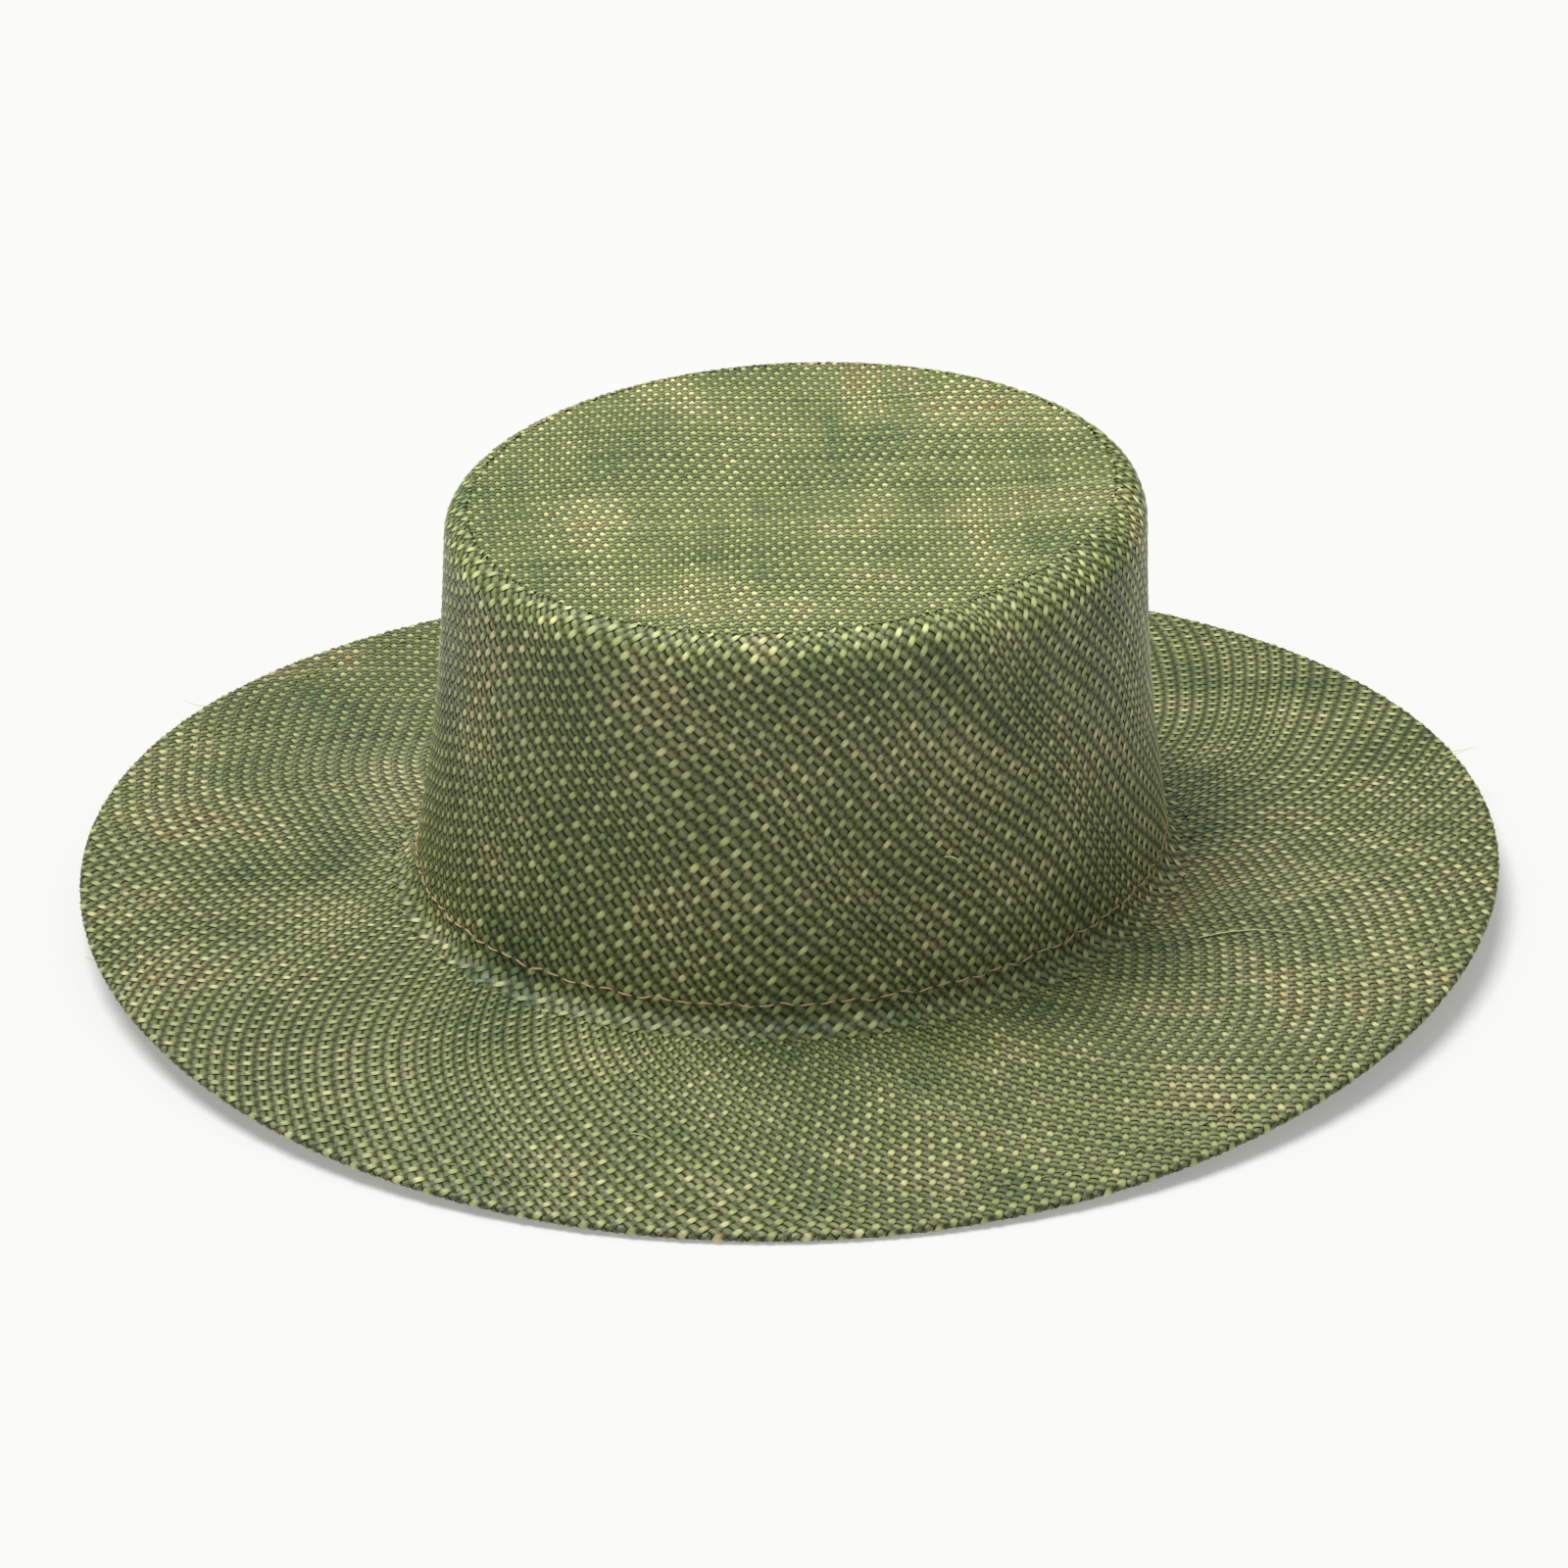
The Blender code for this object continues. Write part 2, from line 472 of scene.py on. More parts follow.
@dataclass(frozen=True)
class BackingFinish:
    """The backing that shows between strands, near black: painted shade between the strands."""

    # Painted shade: near-black colours that stand for the shade between the strands; the mottle is random tone.
    colour: Colour = (0.026, 0.036, 0.009, 1.0)
    mottle: Colour = (0.050, 0.064, 0.018, 1.0)
    roughness: float = 0.9

    def build(self) -> bpy.types.Material:
        """Makes the material.

        Returns:
            The material.
        """
        tree = ShaderTree("straw_shade_backing")
        place = tree.node("ShaderNodeTexCoord", {}, {}, "Object")
        mottle = tree.noise(place, 900.0, 2.0)
        tree.feed("Base Color", tree.mix(mottle, self.colour, self.mottle))
        tree.feed("Roughness", self.roughness)
        return tree.material


@dataclass(frozen=True)
class ThreadFinish:
    """Spun sewing thread with a fine twist."""

    name: str
    colour: Colour
    dark: Colour
    roughness: float = 0.7
    twist: tuple[float, float, float] = (2600.0, 9.0, 1.0)

    def build(self) -> bpy.types.Material:
        """Makes the material.

        Returns:
            The material. It reads the UV map along.
        """
        tree = ShaderTree(self.name)
        along = tree.node("ShaderNodeUVMap", {"uv_map": "along"}, {})
        ply = tree.noise(tree.stretched(along, self.twist), 1.0, 2.0)
        tree.feed("Base Color", tree.mix(tree.ramp(ply, 0.35, 0.65), self.dark, self.colour))
        tree.feed("Roughness", self.roughness)
        tree.feed("Normal", tree.node("ShaderNodeBump", {}, {"Height": ply, "Distance": 0.00008}, "Normal"))
        return tree.material


@dataclass(frozen=True)
class RibbonFinish:
    """Ribbed cotton ribbon: fine upright ribs, a little lighter on their crowns."""

    colour: Colour = (0.115, 0.145, 0.070, 1.0)
    crown: Colour = (0.20, 0.235, 0.125, 1.0)
    roughness: float = 0.82
    ribs_per_metre: float = 1150.0

    def build(self) -> bpy.types.Material:
        """Makes the material.

        Returns:
            The material. It reads the UV map along, in metres round the band and up it.
        """
        tree = ShaderTree("ribbon")
        along = tree.node("ShaderNodeUVMap", {"uv_map": "along"}, {})
        round_band = tree.node("ShaderNodeSeparateXYZ", {}, {0: along}, 0)
        wave = tree.node("ShaderNodeMath", {"operation": "SINE"}, {0: round_band * (self.ribs_per_metre * 2 * math.pi)})
        rib = wave * 0.5 + 0.5
        yarn = tree.noise(tree.stretched(along, (300.0, 2400.0, 1.0)), 1.0, 2.0)
        tree.feed("Base Color", tree.mix(rib * 0.7 + (yarn - 0.5) * 0.5, self.colour, self.crown))
        tree.feed("Roughness", self.roughness)
        bump = {"Height": rib + yarn * 0.3, "Distance": 0.00018, "Strength": 0.8}
        tree.feed("Normal", tree.node("ShaderNodeBump", {}, bump, "Normal"))
        return tree.material


@dataclass(frozen=True)
class PaperFinish:
    """The pale matt surface that the hat stands on."""

    colour: Colour = (0.580, 0.577, 0.568, 1.0)
    cloud: Colour = (0.592, 0.589, 0.580, 1.0)
    glow: Colour = (1.0, 1.0, 0.99, 1.0)
    glow_strength: float = 0.285

    def build(self) -> bpy.types.Material:
        """Makes the material.

        Returns:
            The material.
        """
        tree = ShaderTree("paper")
        place = tree.node("ShaderNodeTexCoord", {}, {}, "Object")
        cloud = tree.noise(place, 3.0, 2.0)
        tree.feed("Base Color", tree.mix(cloud, self.colour, self.cloud))
        tree.feed("Roughness", 0.9)
        tree.feed("Specular IOR Level", 0.1)
        tree.feed("Emission Color", self.glow)
        tree.feed("Emission Strength", self.glow_strength)
        return tree.material


class Piece:
    """Makes finished pieces out of arrays."""

    @staticmethod
    def from_quads(name: str, points: Array, quads: Array, material: bpy.types.Material, slot: str) -> bpy.types.Object:
        """A mesh object that rides on the hat's body, smooth and with its place in its mesh.

        Args:
            name: The object's name.
            points: Rows of x, y, z.
            quads: Rows of four corner indices, facing outwards.
            material: What it wears.
            slot: Not used.

        Returns:
            The object.
        """
        mesh = bpy.data.meshes.new(name)
        mesh.vertices.add(len(points))
        mesh.vertices.foreach_set("co", points.astype(np.float32).ravel())
        mesh.loops.add(quads.size)
        mesh.loops.foreach_set("vertex_index", quads.astype(np.int32).ravel())
        mesh.polygons.add(len(quads))
        mesh.polygons.foreach_set("loop_start", np.arange(0, quads.size, 4, dtype=np.int32))
        mesh.update(calc_edges=True)
        mesh.validate()
        mesh.shade_smooth()
        mesh.materials.append(material)
        obj = bpy.data.objects.new(name, mesh)
        bpy.context.scene.collection.objects.link(obj)
        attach(obj, BODY)
        return obj

    @staticmethod
    def add_uv(obj: bpy.types.Object, uv: Array) -> None:
        """Gives a mesh the UV map along.

        Args:
            obj: The mesh object.
            uv: Rows of u, v, one for each vertex.
        """
        loops = np.empty(len(obj.data.loops), np.int32)
        obj.data.loops.foreach_get("vertex_index", loops)
        obj.data.uv_layers.new(name="along").data.foreach_set("uv", uv[loops].astype(np.float32).ravel())

    @staticmethod
    def grid_quads(rows: int, columns: int, closed_columns: bool = False) -> Array:
        """Corner indices of a grid of points stored row by row.

        Args:
            rows: How many rows.
            columns: How many points in each row.
            closed_columns: Whether the last column joins the first.

        Returns:
            Rows of four indices.
        """
        across = columns if closed_columns else columns - 1
        row, column = np.meshgrid(np.arange(rows - 1), np.arange(across), indexing="ij")
        following = (column + 1) % columns
        corners = [row * columns + column, row * columns + following]
        corners += [(row + 1) * columns + following, (row + 1) * columns + column]
        return np.stack(corners, axis=-1).reshape(-1, 4)

    @staticmethod
    def cap_quads(sides: int) -> Array:
        """Corner indices that close a ring of points with a strip across it, facing the way the ring turns.

        Args:
            sides: How many points the ring has, an even number.

        Returns:
            Rows of four indices.
        """
        near = np.arange(sides // 2 - 1)
        return np.stack([near, near + 1, sides - 2 - near, sides - 1 - near], axis=-1)


@dataclass(frozen=True)
class FlatLattice:
    """Straight strands that cross at right angles, as on the crown's tip."""

    name: str
    regions: tuple[Region, ...]
    sectors: int
    pitches: dict[Family, float]
    across_warp: float
    extent: float
    wander: float = 0.0008
    waves: tuple[tuple[float, float, float], ...] = ((61.0, 23.0, 0.4), (-31.0, 74.0, 2.1), (108.0, -52.0, 4.0))

    def span(self, family: Family) -> tuple[Array, Array, int]:
        """Which strands there are and where along them they start.

        Args:
            family: Which set of strands.

        Returns:
            Strand numbers, the first crossing on each, and how many crossings follow.
        """
        own = int(self.extent / self.pitches[family]) + 1
        other = int(self.extent / self.pitches[family.other]) + 1
        lines = np.arange(-own, own)
        return lines, np.full(lines.shape, -other), 2 * other

    def locate(self, shape: HatShape, warp: Array, weft: Array) -> tuple[Array, Array]:
        """Azimuth and reach of places given by strand numbers, after a slow wander.

        Args:
            shape: Not used.
            warp: Place across the warp, in strands.
            weft: Place across the weft, in strands.

        Returns:
            Azimuth and reach.
        """
        u, v = warp * self.pitches[Family.WARP], weft * self.pitches[Family.WEFT]
        shift_u, shift_v = np.zeros_like(u), np.zeros_like(v)
        for across, along, phase in self.waves:
            wave = across * u + along * v + phase
            shift_u = shift_u + self.wander * np.sin(wave)
            shift_v = shift_v + self.wander * np.cos(wave * 0.87 + 1.0)
        u, v = u + shift_u, v + shift_v
        return np.arctan2(v, u) + self.across_warp, np.hypot(u, v)


@dataclass(frozen=True)
class SpiralLattice:
    """Strands that wind outwards in two opposite spirals, as on the wall and the brim."""

    name: str
    regions: tuple[Region, ...]
    sectors: int
    pitches: dict[Family, float]
    around: dict[Family, int]
    outward: dict[Family, float]
    starts_after: Region
    extent: float
    wander: float = 0.0007
    waves: tuple[tuple[float, float, float], ...] = ((5.0, 70.0, 0.3), (-9.0, 48.0, 1.7), (14.0, -95.0, 3.9))

    @property
    def cells(self) -> float:
        """Crossings in one turn by one metre outwards.

        Returns:
            The number, the determinant of the map from turns and metres to strand numbers.
        """
        warp, weft = Family.WARP, Family.WEFT
        return self.around[warp] * self.outward[weft] + self.around[weft] * self.outward[warp]

    def span(self, family: Family) -> tuple[Array, Array, int]:
        """Which strands there are and where along them they start.

        Args:
            family: Which set of strands.

        Returns:
            Strand numbers, the first crossing on each, and how many crossings follow.
        """
        own, other = self.around[family], self.around[family.other]
        lines = np.arange(own)
        length = self.extent * self.cells / own
        back = length if family is Family.WARP else 0.0
        return lines, np.floor(lines * other / own - back).astype(int) - 1, int(length) + 4

    def locate(self, shape: HatShape, warp: Array, weft: Array) -> tuple[Array, Array]:
        """Azimuth and reach of places given by strand numbers, after a slow wander.

        Warp numbers rise by their count in a turn and by so many in a metre outwards, and weft numbers rise in
        a turn and fall outwards. The two sums are solved for the turn and the distance.

        Args:
            shape: The hat.
            warp: Place across the warp, in strands.
            weft: Place across the weft, in strands.

        Returns:
            Azimuth and reach.
        """
        turn = (warp * self.outward[Family.WEFT] + weft * self.outward[Family.WARP]) / self.cells
        out = (warp * self.around[Family.WEFT] - weft * self.around[Family.WARP]) / self.cells
        azimuth = 2 * math.pi * turn
        shift, sway = np.zeros_like(out), np.zeros_like(out)
        for round_hat, outwards, phase in self.waves:
            wave = round_hat * azimuth + outwards * out + phase
            shift = shift + self.wander * np.sin(wave)
            sway = sway + self.wander * np.cos(wave + 1.0)
        start = shape.reaches(azimuth)[self.starts_after.value]
        return azimuth + sway / start, start + out + shift


Lattice = Union[FlatLattice, SpiralLattice]


@dataclass(frozen=True)
class StrandLook:
    """How one family's strands are drawn: offsets and width are shares of its pitch, light is the least lightness, set
    apart for the two families as painted sheen.
    """

    offsets: tuple[float, ...]
    width: float
    steps: int
    crown: float
    light: float


@dataclass
class WovenStraw:
    """The body's strands and the backing between them, dark as painted shade."""

    shape: HatShape
    rise: float = 0.00032
    plateau_power: float = 0.8
    straw_length: float = 0.085
    light_spread: float = 0.50
    backing_azimuths: int = 240
    backing_rings: int = 90
    # Painted sheen: the warp's least lightness is set well above the weft's, one family drawn lit and the other shaded.
    looks: dict[Family, StrandLook] = field(
        default_factory=lambda: {
            Family.WARP: StrandLook((0.0,), 0.84, 4, 0.00028, 0.55),
            Family.WEFT: StrandLook((-0.25, 0.25), 0.40, 2, 0.00018, -0.30),
        }
    )
    lattices: tuple[Lattice, ...] = (
        FlatLattice(
            "tip_weave",
            (Region.TIP,),
            1,
            {Family.WARP: 0.00155, Family.WEFT: 0.0032},
            math.radians(50.0),
            0.090,
        ),
        SpiralLattice(
            "wall_weave",
            (Region.TIP_EDGE, Region.WALL, Region.FILLET),
            2,
            {Family.WARP: 0.0020, Family.WEFT: 0.0042},
            {Family.WARP: 213, Family.WEFT: 101},
            {Family.WARP: 335.0, Family.WEFT: 159.0},
            Region.TIP,
            0.118,
        ),
        SpiralLattice(
            "brim_weave",
            (Region.BRIM, Region.FOLD, Region.HEM),
            4,
            {Family.WARP: 0.0019, Family.WEFT: 0.0037},
            {Family.WARP: 388, Family.WEFT: 182},
            {Family.WARP: 294.0, Family.WEFT: 192.0},
            Region.FILLET,
            0.098,
        ),
    )

    @staticmethod
    def scatter(first: Array, second: Array, salt: float) -> Array:
        """A repeatable random number from 0 to 1 for each pair: the fraction left of a large sine.

        Args:
            first: A whole number for each point.
            second: Another.
            salt: What sets one draw apart from the next.

        Returns:
            The numbers.
        """
        wild = np.sin(first * 12.9898 + second * 78.233 + salt * 37.719) * 43758.5453
        return wild - np.floor(wild)

    def strands(self, lattice: Lattice, family: Family) -> dict[str, Array]:
        """All strands of one family as three lines of points each: edge, crown and edge.

        Along a strand the height swings as a cosine of the crossings passed, raised to a power so that each
        crossing is a rounded step, and turned over for every other strand and for the other family, which is
        what over and under means. The middle line stands a little prouder. The height share of the attribute
        falls where a strand sinks between the others, seen from either side of the straw, and towards its edges: the
        finish darkens by it as painted shade.

        Args:
            lattice: Where the strands run.
            family: Which set of strands.

        Returns:
            Arrays of points, region, azimuth, the strand attribute of dye, lightness and painted shade share, UV, and
            the quads that join them.
        """
        look = self.looks[family]
        lines, first, crossings = lattice.span(family)
        number = np.repeat(lines, len(look.offsets))[:, None, None]
        start = np.repeat(first, len(look.offsets))[:, None, None]
        offset = np.tile(look.offsets, len(lines))[:, None, None]
        step = (np.arange(crossings * look.steps) + 0.5)[None, :, None] / look.steps
        edge = np.array([-1.0, 0.0, 1.0])[None, None, :]
        along = start + step
        run = along * lattice.pitches[family.other]
        swing = np.cos(math.pi * (along - 0.5))
        swing = np.sign(swing) * np.abs(swing) ** self.plateau_power * np.where(number % 2 == 0, 1, -1) * family.value
        strand = number * 7 + np.round(offset * 4)
        piece = np.floor(run / self.straw_length + self.scatter(strand, strand, 1.0))
        width = look.width * (0.88 + 0.2 * self.scatter(strand, piece, 3.0 + family.value))
        across = number + 0.5 + offset + edge * width / 2
        across, along, swing = np.broadcast_arrays(across, along, swing)
        warp, weft = (across, along) if family is Family.WARP else (along, across)
        azimuth, reach = lattice.locate(self.shape, warp, weft)
        height = swing * self.rise + (1 - np.abs(edge)) * look.crown
        flat = [one.reshape(-1) for one in np.broadcast_arrays(reach, azimuth, height)]
        points, region = self.shape.place(*flat)
        dye = 0.75 * self.scatter(strand, piece, 5.0 + family.value) + 0.25 * (0.5 + 0.5 * np.sin(number * 0.37))
        # Painted sheen: the family's least lightness, plus random tone for each length of straw.
        light = look.light + self.light_spread * self.scatter(strand, piece, 8.0 + family.value)
        # Painted shade: the share falls where a strand dips and towards its edges, and the finish darkens by it.
        share = 0.20 + np.abs(swing) * 0.72 - np.abs(edge) * 0.16
        attribute = np.stack(np.broadcast_arrays(dye, light, share, np.ones_like(share)), axis=-1)
        uv = np.stack(np.broadcast_arrays(run + number * 0.713, (edge + 1) / 2 + strand * 1.37), axis=-1)
        index = np.arange(share.size).reshape(share.shape)
        corner = [index[:, :-1, :-1], index[:, :-1, 1:], index[:, 1:, 1:], index[:, 1:, :-1]]
        quads = np.stack(corner, axis=-1).reshape(-1, 4)
        return {
            "points": points,
            "region": region,
            "azimuth": flat[1],
            "attribute": attribute.reshape(-1, 4),
            "uv": uv.reshape(-1, 2),
            "quads": quads if family is Family.WARP else quads[:, ::-1],
        }

    def build(self, straw: bpy.types.Material, inside: bpy.types.Material) -> list[bpy.types.Object]:
        """Makes the weave in pieces by region, and the backing.

        Args:
            straw: Finish of the strands.
            inside: Finish of the backing, dark as painted shade.

        Returns:
            The objects.
        """
        made = []
        for lattice in self.lattices:
            warp, weft = (self.strands(lattice, family) for family in Family)
            weft["quads"] = weft["quads"] + len(warp["points"])
            both = {key: np.concatenate([warp[key], weft[key]]) for key in warp}
            quads, region = both["quads"], both["region"]
            whole = region[quads].max(axis=1) < len(Region)
            here = whole & np.isin(region[quads].min(axis=1), [one.value for one in lattice.regions])
            sector = (both["azimuth"][quads[:, 0]] / (2 * math.pi) % 1 * lattice.sectors).astype(int)
            for part in range(lattice.sectors):
                name = lattice.name if lattice.sectors == 1 else f"{lattice.name}_{part + 1}"
                mask = here & (sector == part)
                used, packed = np.unique(quads[mask], return_inverse=True)
                obj = Piece.from_quads(name, both["points"][used], packed.reshape(-1, 4), straw, "straw")
                Piece.add_uv(obj, both["uv"][used])
                colours = obj.data.color_attributes.new("strand", "FLOAT_COLOR", "POINT")
                colours.data.foreach_set("color", both["attribute"][used].astype(np.float32).ravel())
                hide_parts("woven_body")
                LOG.info("%s: %d quads", name, int(mask.sum()))
                made.append(obj)
        made.append(self.backing(inside))
        return made

    def backing(self, inside: bpy.types.Material) -> bpy.types.Object:
        """The middle surface itself, as rings from the crown's centre to the end of the hem.

        Args:
            inside: Its finish, dark as painted shade between the strands.

        Returns:
            The object.
        """
        azimuth = np.linspace(0, 2 * math.pi, self.backing_azimuths, endpoint=False)[None, :]
        ends = self.shape.reaches(azimuth[0])
        per_region = self.backing_rings // len(Region)
        starts = np.concatenate([np.full_like(ends[:1], 0.0005), ends[:-1]])
        share = (np.arange(per_region) + 1) / per_region
        reach = starts[:, None, :] + (ends - starts)[:, None, :] * share[None, :, None] * 0.9999
        reach = np.concatenate([np.full((1, self.backing_azimuths), 0.0004), reach.reshape(-1, self.backing_azimuths)])
        azimuth = np.broadcast_to(azimuth, reach.shape)
        points, _ = self.shape.place(reach, azimuth, np.zeros_like(reach))
        quads = Piece.grid_quads(reach.shape[0], self.backing_azimuths, True)[:, ::-1]
        quads = np.concatenate([quads, Piece.cap_quads(self.backing_azimuths)])
        obj = Piece.from_quads("straw_shade_backing", points.reshape(-1, 3), quads, inside, "straw")
        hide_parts("woven_body")
        LOG.info("straw_shade_backing: %d quads", len(quads))
        return obj


@dataclass
class StitchLine:
    """A running stitch round the hat: short tubes that dive into the straw at both ends."""

    name: str
    shape: HatShape
    region: Region
    from_end: float
    stitch: float = 0.0044
    spacing: float = 0.0050
    thread_radius: float = 0.00030
    proud: float = 0.00060
    dive: float = 0.0008
    wave: float = 0.00030
    along_steps: int = 9
    sides: int = 6

    def build(self, thread: bpy.types.Material) -> bpy.types.Object:
        """Makes the line of stitches.

        Each stitch runs along the azimuth at a fixed reach short of its region's end, wandering slowly. Its
        centre line rises as a power of a sine and its radius shrinks to a point at both ends.

        Args:
            thread: Its finish.

        Returns:
            The object.
        """
        turn = np.linspace(0, 2 * math.pi, 721)
        radius = self.shape.place(self.reach(turn), turn, np.zeros_like(turn))[0]
        round_hat = np.concatenate([[0], np.cumsum(np.linalg.norm(np.diff(radius, axis=0), axis=1))])
        count = int(round_hat[-1] / self.spacing)
        start = np.arange(count)[:, None] * round_hat[-1] / count
        share = np.linspace(0, 1, self.along_steps)[None, :]
        azimuth = np.interp(start + self.stitch * share, round_hat, turn)
        arch = np.sin(math.pi * share) ** 0.35
        height = self.proud - self.dive * (1 - arch) + 0 * azimuth
        sway = self.wave * np.sin(azimuth * 41.0) + 0.6 * self.wave * np.sin(azimuth * 97.0 + 1.0)
        slant = (share - 0.5) * 0.0005 * np.where(np.arange(count)[:, None] % 2 == 0, 1, -1)
        reach = self.reach(azimuth) + sway + slant
        centre, _ = self.shape.place(reach, azimuth, height)
        above, _ = self.shape.place(reach, azimuth, height + 0.0002)
        up = above - centre
        up /= np.linalg.norm(up, axis=-1, keepdims=True)
        ahead = np.gradient(centre, axis=1)
        ahead /= np.linalg.norm(ahead, axis=-1, keepdims=True)
        side = np.cross(ahead, up)
        side /= np.linalg.norm(side, axis=-1, keepdims=True)
        around = (np.arange(self.sides) / self.sides * 2 * math.pi)[None, None, :, None]
        thick = (self.thread_radius * np.maximum(arch, 0.02))[..., None, None]
        points = centre[:, :, None] + thick * (np.cos(around) * side[:, :, None] + np.sin(around) * up[:, :, None])
        cap = Piece.cap_quads(self.sides)
        last = (self.along_steps - 1) * self.sides
        one = np.concatenate([Piece.grid_quads(self.along_steps, self.sides, True)[:, ::-1], cap, cap[:, ::-1] + last])
        quads = (one[None] + (np.arange(count) * self.along_steps * self.sides)[:, None, None]).reshape(-1, 4)
        obj = Piece.from_quads(self.name, points.reshape(-1, 3), quads, thread, "straw")
        along = np.broadcast_to((start + self.stitch * share)[..., None], points.shape[:3])
        ring = np.broadcast_to(np.arange(self.sides) / self.sides, points.shape[:3])
        Piece.add_uv(obj, np.stack([along, ring], axis=-1).reshape(-1, 2))
        LOG.info("%s: %d stitches", self.name, count)
        return obj

    def reach(self, azimuth: Array) -> Array:
        """Where the line lies.

        Args:
            azimuth: Angles about +Z.

        Returns:
            The reach, short of the end of the region by the line's set-back.
        """
        ends = self.shape.reaches(azimuth.ravel())[self.region.value].reshape(azimuth.shape)
        return ends - self.from_end


@dataclass
class Sweatband:
    """The ribbon inside the crown's foot, with soft edges, in the CAD band's place."""

    shape: HatShape
    width: float = 0.0260
    thickness: float = 0.0010
    clearance: float = 0.0003
    foot_setback: float = 0.0010
    azimuths: int = 256
    loop_steps: int = 28
    corner_power: float = 0.16

    def build(self, ribbon: bpy.types.Material) -> bpy.types.Object:
        """Makes the band: a flat rounded loop carried round the oval.

        The loop is a superellipse, its half sizes half the thickness and half the width. Its middle follows
        the wall, set in by half the straw, the clearance and half the band.

        Args:
            ribbon: Its finish.

        Returns:
            The object.
        """
        azimuth = np.linspace(0, 2 * math.pi, self.azimuths, endpoint=False)[:, None]
        loop = (np.arange(self.loop_steps) / self.loop_steps * 2 * math.pi)[None, :]
        flat = np.sign(np.cos(loop)) * np.abs(np.cos(loop)) ** self.corner_power
        tall = np.sign(np.sin(loop)) * np.abs(np.sin(loop)) ** 0.9
        low = self.shape.foot_height + self.shape.fillet_radius + self.foot_setback
        up = low + self.width / 2 * (1 + tall) + 0 * azimuth
        edge = self.shape.edge_radius(azimuth)
        high = self.shape.foot_height + self.shape.crown_height - edge
        share = (high - up) / (high - self.shape.foot_height - self.shape.fillet_radius)
        tip, foot = self.shape.oval(azimuth, self.shape.tip_half), self.shape.oval(azimuth, self.shape.foot_half)
        wall = tip + (foot - tip) * share - self.shape.wall_hollow * np.sin(math.pi * share)
        inset = self.shape.straw_thickness / 2 + self.clearance + self.thickness / 2
        out = wall - inset + flat * self.thickness / 2
        points = np.stack([out * np.cos(azimuth), out * np.sin(azimuth), up + self.shape.lift], axis=-1)
        index = np.arange(self.azimuths * self.loop_steps).reshape(self.azimuths, self.loop_steps)
        ahead, around = np.roll(index, -1, axis=0), np.roll(index, -1, axis=1)
        quads = np.stack([index, ahead, np.roll(ahead, -1, axis=1), around], axis=-1).reshape(-1, 4)
        obj = Piece.from_quads("sweatband_ribbon", points.reshape(-1, 3), quads, ribbon, "ribbon")
        round_band = np.broadcast_to(azimuth * 0.095, up.shape)
        Piece.add_uv(obj, np.stack([round_band, up], axis=-1).reshape(-1, 2))
        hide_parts("sweatband")
        LOG.info("sweatband_ribbon: %d quads", len(quads))
        return obj


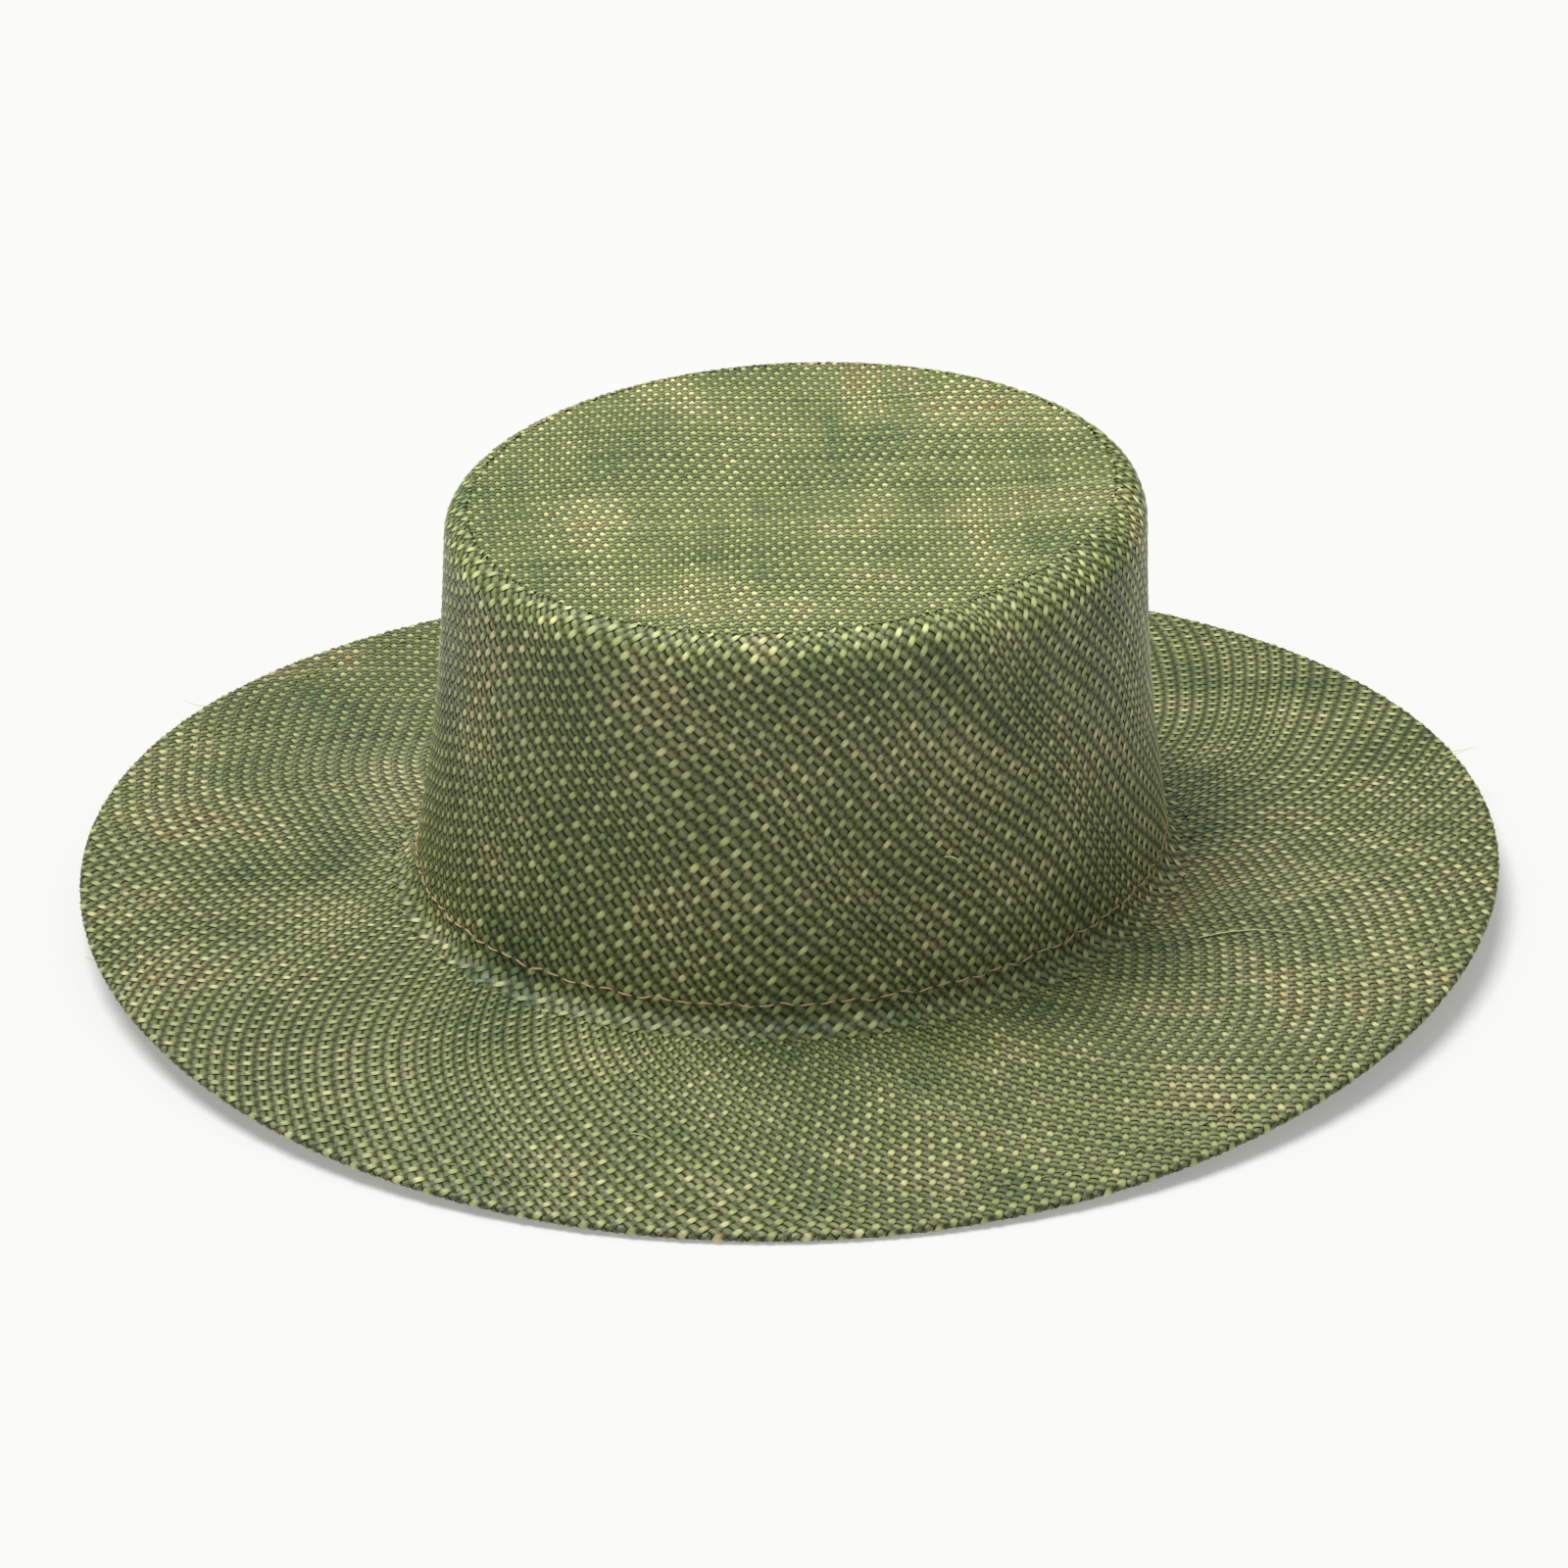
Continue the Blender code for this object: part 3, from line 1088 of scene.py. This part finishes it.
@dataclass
class LooseEnds:
    """Bare straw ends that stand off the weave, and one that lies on the brim."""

    shape: HatShape
    columns: tuple[str, ...] = ("azimuth_deg", "region", "share", "length", "lean_deg", "stand")
    ends: tuple[tuple[float, int, float, float, float, float], ...] = (
        (64.0, 4, 0.985, 0.0085, -38.0, 0.35),
        (63.0, 4, 0.97, 0.0060, -20.0, 0.50),
        (198.0, 4, 0.985, 0.0070, 35.0, 0.30),
        (246.0, 4, 0.99, 0.0050, -15.0, 0.20),
        (186.0, 1, 0.45, 0.0060, 10.0, 0.45),
        (21.0, 4, 0.18, 0.0260, 28.0, 0.02),
        (300.0, 4, 0.55, 0.0070, 70.0, 0.06),
        (265.0, 4, 0.30, 0.0060, -60.0, 0.08),
        (340.0, 2, 0.60, 0.0050, 60.0, 0.10),
    )
    width: float = 0.00055
    steps: int = 10

    def build(self, straw: bpy.types.Material) -> bpy.types.Object:
        """Makes the ends as thin ribbons, each bent a little and narrowing to its tip.

        Args:
            straw: Their finish.

        Returns:
            The object.
        """
        table = dict(zip(self.columns, np.array(self.ends).T))
        azimuth = np.radians(table["azimuth_deg"])
        reaches = self.shape.reaches(azimuth)
        region = table["region"].astype(int)
        pick = np.arange(len(azimuth))
        start = reaches[region - 1, pick]
        reach = start + (reaches[region, pick] - start) * table["share"]
        foot, _ = self.shape.place(reach, azimuth, np.full_like(azimuth, 0.0003))
        above, _ = self.shape.place(reach, azimuth, np.full_like(azimuth, 0.0013))
        up = (above - foot) / 0.001
        ahead = np.stack([np.cos(azimuth), np.sin(azimuth), 0 * azimuth], axis=-1)
        ahead -= up * (ahead * up).sum(axis=-1, keepdims=True)
        ahead /= np.linalg.norm(ahead, axis=-1, keepdims=True)
        side = np.cross(up, ahead)
        lean = np.radians(table["lean_deg"])[:, None]
        way = ahead * np.cos(lean) + side * np.sin(lean)
        across = np.cross(up, way)
        share = np.linspace(0, 1, self.steps)[None, :, None]
        length, stand = table["length"][:, None, None], table["stand"][:, None, None]
        curl = 0.12 * np.sin(math.pi * share)
        line = foot[:, None] + length * (share * way[:, None] + stand * share**1.6 * up[:, None] + curl * across[:, None])
        line = line + 0.0004 * up[:, None]
        edge = np.array([-0.5, 0.5])[None, None, :, None]
        narrow = (1 - 0.75 * share**2)[..., None]
        points = line[:, :, None] + edge * self.width * narrow * across[:, None, None]
        one = Piece.grid_quads(self.steps, 2)[:, ::-1]
        count = len(azimuth)
        quads = (one[None] + (np.arange(count) * self.steps * 2)[:, None, None]).reshape(-1, 4)
        obj = Piece.from_quads("loose_ends", points.reshape(-1, 3), quads, straw, "straw")
        uv = np.stack(np.broadcast_arrays(length * share, np.array([0.0, 1.0])[None, None, :]), axis=-1)
        Piece.add_uv(obj, uv.reshape(-1, 2))
        colours = obj.data.color_attributes.new("strand", "FLOAT_COLOR", "POINT")
        tone = np.tile([0.14, 0.7, 1.0, 1.0], (len(points.reshape(-1, 3)), 1))
        colours.data.foreach_set("color", tone.astype(np.float32).ravel())
        LOG.info("loose_ends: %d", count)
        return obj


@dataclass
class Studio:
    """Pale floor, soft light from behind on the left, and the photograph's camera."""

    camera_azimuth: float = math.radians(45.0)
    camera_elevation: float = math.radians(25.8)
    camera_distance: float = 1.8
    camera_roll: float = math.radians(-0.74)
    focal_px: float = 7281.0
    frame_px: float = 1600.0
    sensor_mm: float = 36.0
    target_height: float = 0.0669
    target_px: tuple[float, float] = (812.0, 664.8)
    floor_half: float = 5.0
    sky: Colour = (1.0, 0.995, 0.985, 1.0)
    sky_strength: float = 0.33
    key_from: tuple[float, float, float] = (-0.26, 0.10, 0.95)
    key_strength: float = 2.75
    key_angle: float = math.radians(34.0)

    def axes(self) -> tuple[Vector, Vector, Vector]:
        """The camera's right, up and forward directions when it looks straight at the target, rolled.

        Returns:
            Three unit vectors.
        """
        a, e = self.camera_azimuth, self.camera_elevation
        right = Vector((math.cos(a), math.sin(a), 0))
        forward = Vector((-math.sin(a) * math.cos(e), math.cos(a) * math.cos(e), -math.sin(e)))
        up = right.cross(forward)
        c, s = math.cos(self.camera_roll), math.sin(self.camera_roll)
        return c * right - s * up, s * right + c * up, forward

    def add_camera(self) -> None:
        """Makes the camera, aimed so that the target shows at its measured pixel."""
        right, up, forward = self.axes()
        target = Vector((0, 0, self.target_height))
        place = target - forward * self.camera_distance
        per_px = self.camera_distance / self.focal_px
        left_of = (self.target_px[0] - self.frame_px / 2) * per_px
        below = (self.frame_px / 2 - self.target_px[1]) * per_px
        forward = (target - right * left_of - up * below - place).normalized()
        right = (right - forward * right.dot(forward)).normalized()
        up = right.cross(forward)
        data = bpy.data.cameras.new("camera")
        data.sensor_width = self.sensor_mm
        data.lens = self.focal_px / self.frame_px * self.sensor_mm
        data.clip_start, data.clip_end = 0.05, 50.0
        camera = bpy.data.objects.new("camera", data)
        turn = Matrix((right, up, -forward)).transposed()
        camera.matrix_world = Matrix.Translation(place) @ turn.to_4x4()
        bpy.context.scene.collection.objects.link(camera)
        bpy.context.scene.camera = camera

    def add_light(self) -> None:
        """Makes an even sky and one broad soft key light."""
        world = bpy.data.worlds.new("sky")
        world.use_nodes = True
        background = world.node_tree.nodes["Background"]
        background.inputs["Color"].default_value = self.sky
        background.inputs["Strength"].default_value = self.sky_strength
        bpy.context.scene.world = world
        data = bpy.data.lights.new("key", "SUN")
        data.energy = self.key_strength
        data.angle = self.key_angle
        key = bpy.data.objects.new("key", data)
        x, y, z = self.key_from
        a = self.camera_azimuth
        way = Vector((x * math.cos(a) - y * math.sin(a), x * math.sin(a) + y * math.cos(a), z))
        key.rotation_mode = "QUATERNION"
        key.rotation_quaternion = way.to_track_quat("Z", "Y")
        bpy.context.scene.collection.objects.link(key)
        bpy.context.scene.view_settings.view_transform = "Standard"

    def add_floor(self, paper: bpy.types.Material) -> None:
        """Makes the floor, which isn't part of the hat.

        Args:
            paper: Its finish.
        """
        mesh = bpy.data.meshes.new("floor")
        half = self.floor_half
        corners = [(-half, -half, 0), (half, -half, 0), (half, half, 0), (-half, half, 0)]
        mesh.from_pydata(corners, [], [(0, 1, 2, 3)])
        mesh.materials.append(paper)
        floor = bpy.data.objects.new("floor", mesh)
        bpy.context.scene.collection.objects.link(floor)


def write_sizes() -> None:
    """Brings the scene's placements up to date."""
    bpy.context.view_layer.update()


def main() -> None:
    """Builds the hat's looks, piece by piece."""
    logging.basicConfig(level=logging.INFO, format="%(name)s %(message)s")
    shape = HatShape()
    straw = StrawFinish().build()
    tan_thread = ThreadFinish("foot_thread", (0.60, 0.42, 0.27, 1.0), (0.38, 0.25, 0.15, 1.0)).build()
    hem_thread = ThreadFinish("hem_thread", (0.44, 0.40, 0.20, 1.0), (0.25, 0.22, 0.10, 1.0)).build()
    WovenStraw(shape).build(straw, BackingFinish().build())
    StitchLine("foot_stitches", shape, Region.WALL, 0.0010).build(tan_thread)
    StitchLine("hem_stitches", shape, Region.BRIM, 0.0092, stitch=0.0030, thread_radius=0.00022).build(hem_thread)
    Sweatband(shape).build(RibbonFinish().build())
    LooseEnds(shape).build(straw)
    studio = Studio()
    studio.add_floor(PaperFinish().build())
    studio.add_light()
    studio.add_camera()
    write_sizes()


if __name__ == "__main__":
    main()
